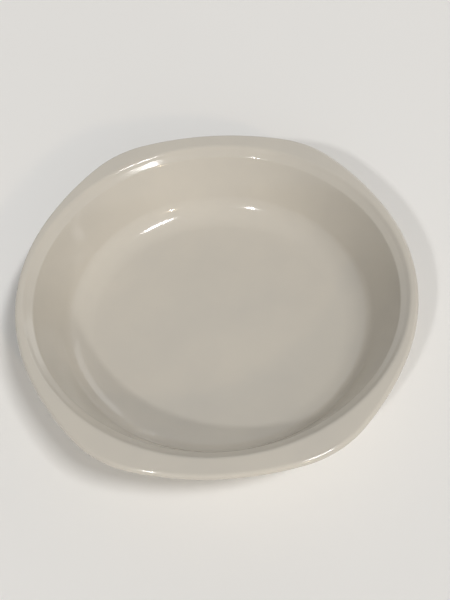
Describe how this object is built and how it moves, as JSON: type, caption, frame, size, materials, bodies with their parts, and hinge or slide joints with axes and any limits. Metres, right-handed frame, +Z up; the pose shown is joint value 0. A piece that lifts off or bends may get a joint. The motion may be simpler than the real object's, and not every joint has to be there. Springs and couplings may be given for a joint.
{
  "type": "round eared dish",
  "caption": "Shallow round glazed ceramic dish with a leaning wall, a sloped seat round the mouth, a flat rim with opposed ears to lift it by, and a bare foot ring to stand on.",
  "frame": {"origin": "on the dish's axis, on the surface that its foot ring stands on", "axes": "+Z up, +Y through the middle of one ear, +X through the middle of a plain side"},
  "size_m": [0.2, 0.211, 0.0415],
  "materials": {
    "bare_ceramic": "unglazed, sanded smooth",
    "glaze": "glossy warm white glaze"
  },
  "bodies": {
    "root": {"ceramic_body": "bare_ceramic", "inside_glaze": "glaze", "outside_glaze": "glaze", "base_glaze": "glaze"}
  },
  "joints": []
}
